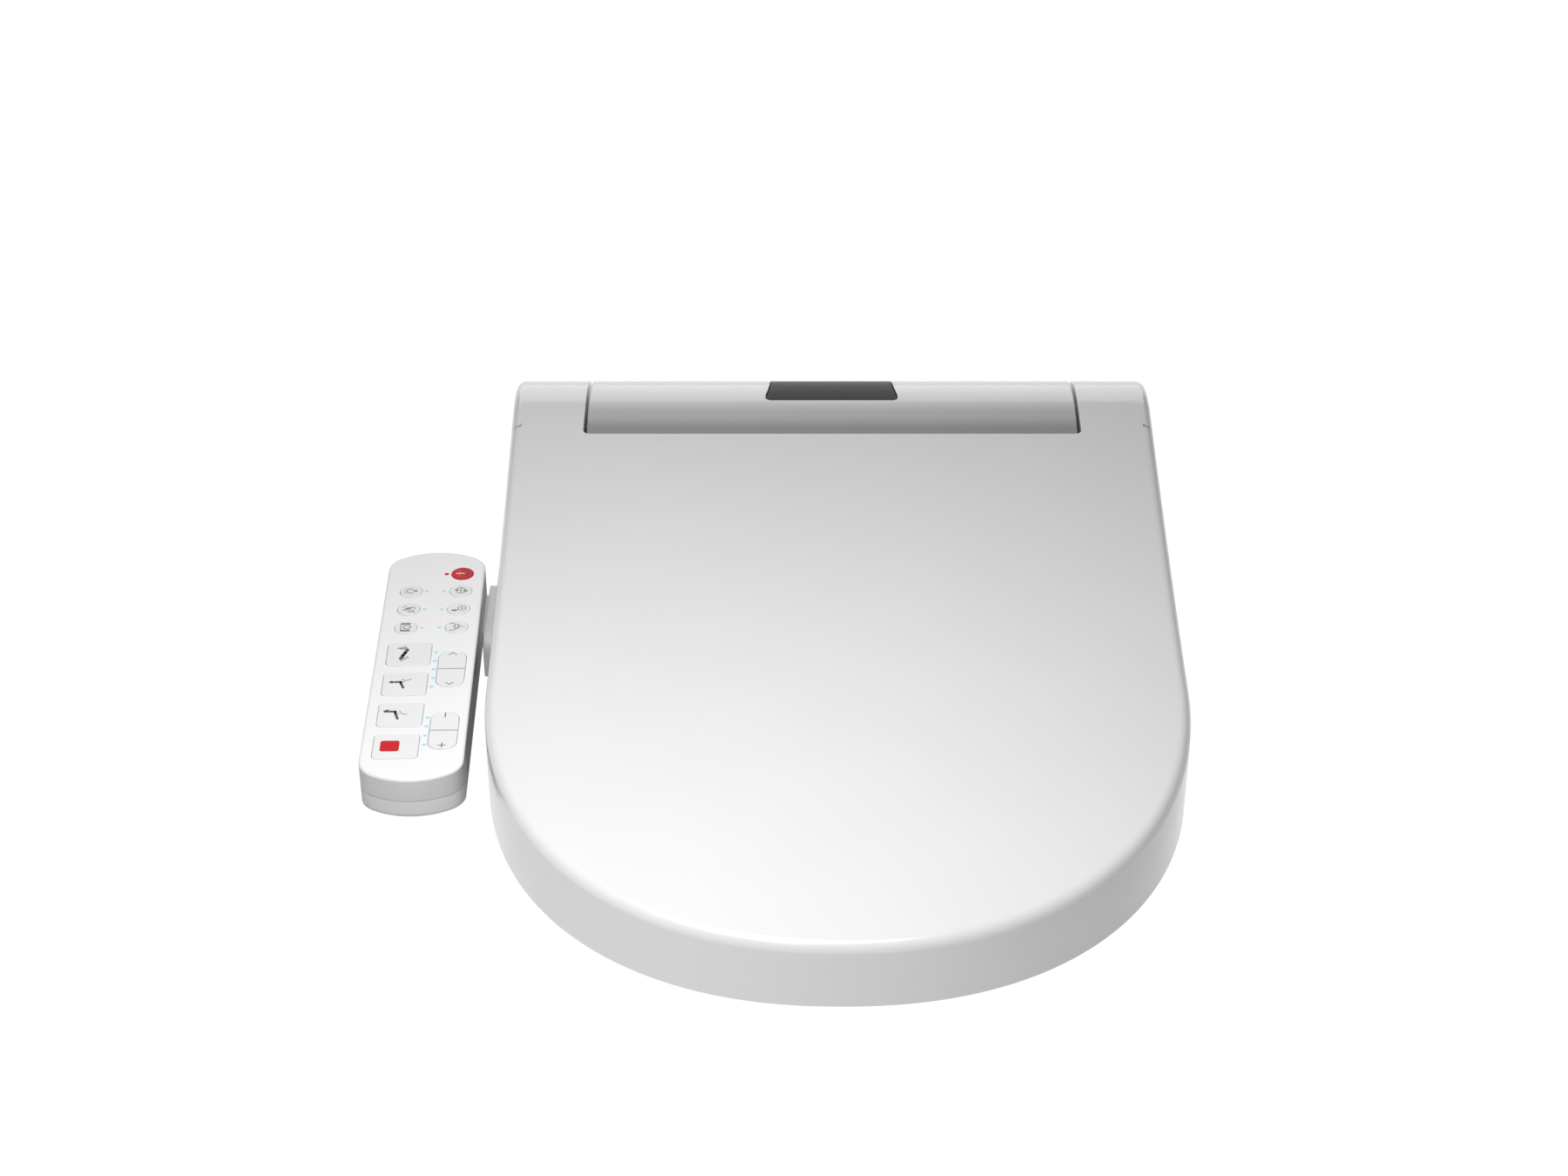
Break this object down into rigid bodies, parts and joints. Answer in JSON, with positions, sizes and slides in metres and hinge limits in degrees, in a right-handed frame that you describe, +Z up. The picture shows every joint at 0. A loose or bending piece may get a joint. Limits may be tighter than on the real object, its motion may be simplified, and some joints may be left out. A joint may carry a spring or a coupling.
{
  "type": "electric bidet seat",
  "caption": "Electric bidet seat: D-shaped closed lid over a heated seat, rear body with retracting wash wands, and a side control panel with keys, rockers and indicator lights.",
  "frame": {"origin": "midway between the two bowl bolts, on the face that rests on the bowl rim", "axes": "+Z up; -Y towards the front of the seat; +X to the right when seen from the front"},
  "size_m": [0.4592, 0.5458, 0.0831],
  "materials": {
    "white_gloss": "gloss",
    "white_matte": "satin",
    "face_white": "satin",
    "window_smoke": "gloss",
    "grey_plastic": "matte",
    "dark_plastic": "matte",
    "natural_nylon": "satin",
    "steel": "brushed",
    "brass": "satin",
    "rubber": "matte",
    "board": "satin",
    "carbon": "matte",
    "foil": "satin",
    "key_red": "gloss",
    "lamp_blue": "gloss",
    "lamp_red": "gloss"
  },
  "bodies": {
    "rear_body": {"base_tray": "white_matte", "hub_cover": "white_gloss", "sensor_window": "window_smoke", "window_board": "board", "wand_guide": "natural_nylon", "rear_motor": "steel", "front_motor": "steel", "water_heater": "grey_plastic", "inlet_valve": "natural_nylon", "inlet_fitting": "brass", "inlet_strainer": "dark_plastic", "diverter_valve": "natural_nylon", "dryer_housing": "dark_plastic", "dryer_duct": "dark_plastic", "deodorizer_duct": "grey_plastic", "fan_frame": "dark_plastic", "main_board": "board", "power_board": "board", "cable_gland": "rubber", "hinge_shaft_left": "steel", "hinge_shaft_right": "steel", "seat_damper": "dark_plastic", "lid_damper": "dark_plastic", "case_screws": "steel", "mounting_plate": "grey_plastic", "plate_gasket": "rubber", "panel_arm": "white_matte", "panel_case": "face_white", "panel_cover": "face_white", "panel_board": "board", "panel_screws": "steel", "blue_lights": "lamp_blue", "red_light": "lamp_red"},
    "seat": {"seat_shell": "white_gloss", "seat_base": "white_matte", "seat_heater": "foil", "seat_bumpers": "rubber"},
    "lid": {"lid_shell": "white_gloss", "lid_bumpers": "rubber"},
    "rear_wand": {"rear_wand": "white_gloss"},
    "front_wand": {"front_wand": "white_gloss"},
    "rear_pinion": {"rear_pinion": "natural_nylon"},
    "front_pinion": {"front_pinion": "natural_nylon"},
    "dryer_rotor": {"dryer_rotor": "grey_plastic"},
    "deodorizer_fan": {"deodorizer_fan": "dark_plastic"},
    "filter_cartridge": {"filter_cartridge": "carbon"},
    "release_latch": {"release_latch": "grey_plastic"},
    "position_rocker": {"position_rocker": "face_white"},
    "strength_rocker": {"strength_rocker": "face_white"},
    "power_key": {"power_key": "key_red"},
    "light_key": {"light_key": "face_white"},
    "clean_key": {"clean_key": "face_white"},
    "seat_temp_key": {"seat_temp_key": "face_white"},
    "deodorizer_key": {"deodorizer_key": "face_white"},
    "eco_key": {"eco_key": "face_white"},
    "water_temp_key": {"water_temp_key": "face_white"},
    "dry_key": {"dry_key": "face_white"},
    "rear_wash_key": {"rear_wash_key": "face_white"},
    "front_wash_key": {"front_wash_key": "face_white"},
    "stop_key": {"stop_key": "face_white"}
  },
  "joints": [
    {"name": "seat_hinge", "type": "hinge", "parent": "rear_body", "child": "seat", "pos_m": [0, 0.03384, 0.046], "axis": [-1, 0, 0], "range_deg": [0, 98]},
    {"name": "lid_hinge", "type": "hinge", "parent": "seat", "child": "lid", "pos_m": [0, 0.03384, 0.046], "axis": [1, 0, 0], "range_deg": [-100, 0]},
    {"name": "rear_wand_slide", "type": "slide", "parent": "rear_body", "child": "rear_wand", "axis": [0, -0.9272, -0.3746], "range_m": [0, 0.078]},
    {"name": "rear_pinion_spin", "type": "hinge", "parent": "rear_body", "child": "rear_pinion", "pos_m": [-0.012, -0.03964, 0.04063], "axis": [1, 0, 0], "range_deg": [-750, 1]},
    {"name": "front_wand_slide", "type": "slide", "parent": "rear_body", "child": "front_wand", "axis": [0, -0.9272, -0.3746], "range_m": [0, 0.078]},
    {"name": "front_pinion_spin", "type": "hinge", "parent": "rear_body", "child": "front_pinion", "pos_m": [0.012, -0.03964, 0.04063], "axis": [1, 0, 0], "range_deg": [-750, 1]},
    {"name": "dryer_spin", "type": "hinge", "parent": "rear_body", "child": "dryer_rotor", "pos_m": [0.076, 0.008, 0.02], "axis": [0, 0, 1], "continuous": true},
    {"name": "deodorizer_spin", "type": "hinge", "parent": "rear_body", "child": "deodorizer_fan", "pos_m": [-0.041, 0, 0.019], "axis": [0, 1, 0], "continuous": true},
    {"name": "cartridge_slide", "type": "slide", "parent": "rear_body", "child": "filter_cartridge", "axis": [0, 1, 0], "range_m": [0, 0.04]},
    {"name": "latch_slide", "type": "slide", "parent": "rear_body", "child": "release_latch", "axis": [1, 0, 0], "range_m": [0, 0.0055], "stiffness_N_per_m": 300},
    {"name": "power_key_press", "type": "slide", "parent": "rear_body", "child": "power_key", "axis": [0, 0, -1], "range_m": [0, 0.0006], "stiffness_N_per_m": 800, "springref_m": -0.0004},
    {"name": "light_key_press", "type": "slide", "parent": "rear_body", "child": "light_key", "axis": [0, 0, -1], "range_m": [0, 0.0006], "stiffness_N_per_m": 800, "springref_m": -0.0004},
    {"name": "clean_key_press", "type": "slide", "parent": "rear_body", "child": "clean_key", "axis": [0, 0, -1], "range_m": [0, 0.0006], "stiffness_N_per_m": 800, "springref_m": -0.0004},
    {"name": "seat_temp_key_press", "type": "slide", "parent": "rear_body", "child": "seat_temp_key", "axis": [0, 0, -1], "range_m": [0, 0.0006], "stiffness_N_per_m": 800, "springref_m": -0.0004},
    {"name": "deodorizer_key_press", "type": "slide", "parent": "rear_body", "child": "deodorizer_key", "axis": [0, 0, -1], "range_m": [0, 0.0006], "stiffness_N_per_m": 800, "springref_m": -0.0004},
    {"name": "eco_key_press", "type": "slide", "parent": "rear_body", "child": "eco_key", "axis": [0, 0, -1], "range_m": [0, 0.0006], "stiffness_N_per_m": 800, "springref_m": -0.0004},
    {"name": "water_temp_key_press", "type": "slide", "parent": "rear_body", "child": "water_temp_key", "axis": [0, 0, -1], "range_m": [0, 0.0006], "stiffness_N_per_m": 800, "springref_m": -0.0004},
    {"name": "dry_key_press", "type": "slide", "parent": "rear_body", "child": "dry_key", "axis": [0, 0, -1], "range_m": [0, 0.0006], "stiffness_N_per_m": 800, "springref_m": -0.0004},
    {"name": "rear_wash_key_press", "type": "slide", "parent": "rear_body", "child": "rear_wash_key", "axis": [0, 0, -1], "range_m": [0, 0.0006], "stiffness_N_per_m": 800, "springref_m": -0.0004},
    {"name": "front_wash_key_press", "type": "slide", "parent": "rear_body", "child": "front_wash_key", "axis": [0, 0, -1], "range_m": [0, 0.0006], "stiffness_N_per_m": 800, "springref_m": -0.0004},
    {"name": "stop_key_press", "type": "slide", "parent": "rear_body", "child": "stop_key", "axis": [0, 0, -1], "range_m": [0, 0.0006], "stiffness_N_per_m": 800, "springref_m": -0.0004},
    {"name": "position_rocker_tilt", "type": "hinge", "parent": "rear_body", "child": "position_rocker", "pos_m": [-0.2157, -0.22727, 0.0406], "axis": [0.9998, 0.0209, 0], "range_deg": [-2.2, 2.2], "stiffness_Nm_per_rad": 0.3},
    {"name": "strength_rocker_tilt", "type": "hinge", "parent": "rear_body", "child": "strength_rocker", "pos_m": [-0.21449, -0.28526, 0.0406], "axis": [0.9998, 0.0209, 0], "range_deg": [-2.2, 2.2], "stiffness_Nm_per_rad": 0.3}
  ],
  "couplings": [
    {"joint": "rear_pinion_spin", "follows": "rear_wand_slide", "rad_per_m": -166.67},
    {"joint": "front_pinion_spin", "follows": "front_wand_slide", "rad_per_m": -166.67}
  ]
}
